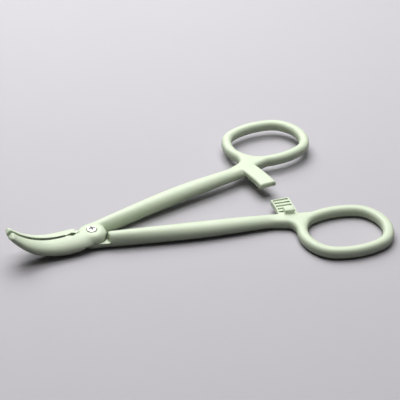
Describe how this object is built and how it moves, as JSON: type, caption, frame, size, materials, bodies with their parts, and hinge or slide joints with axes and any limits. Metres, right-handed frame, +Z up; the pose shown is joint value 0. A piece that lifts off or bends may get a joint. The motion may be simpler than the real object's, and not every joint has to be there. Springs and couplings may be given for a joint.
{
  "type": "hemostat forceps",
  "caption": "Locking curved hemostat forceps in moulded plastic, with serrated jaws, finger rings and a toothed ratchet, on a screw pivot.",
  "frame": {"origin": "on the pivot axis, in the plane of the joint's flat underside, which is the surface it rests on", "axes": "+X along the bisector of the arms towards the finger rings, +Y towards the upper arm's ring, +Z up along the pivot axis towards the screw's head"},
  "size_m": [0.1628, 0.1138, 0.0161],
  "materials": {
    "moulded_plastic": "satin moulded plastic, pale mint green",
    "screw_steel": "bright plated steel",
    "nut_steel": "plain plated steel"
  },
  "bodies": {
    "rear_arm": {"rear_jaw_arm": "moulded_plastic", "pivot_screw": "screw_steel", "pivot_nut": "nut_steel"},
    "front_arm": {"front_jaw_arm": "moulded_plastic"}
  },
  "joints": [
    {"name": "pivot", "type": "hinge", "parent": "rear_arm", "child": "front_arm", "pos_m": [0, 0, 0.0037], "axis": [0, 0, 1], "range_deg": [-2.8, 50]}
  ]
}
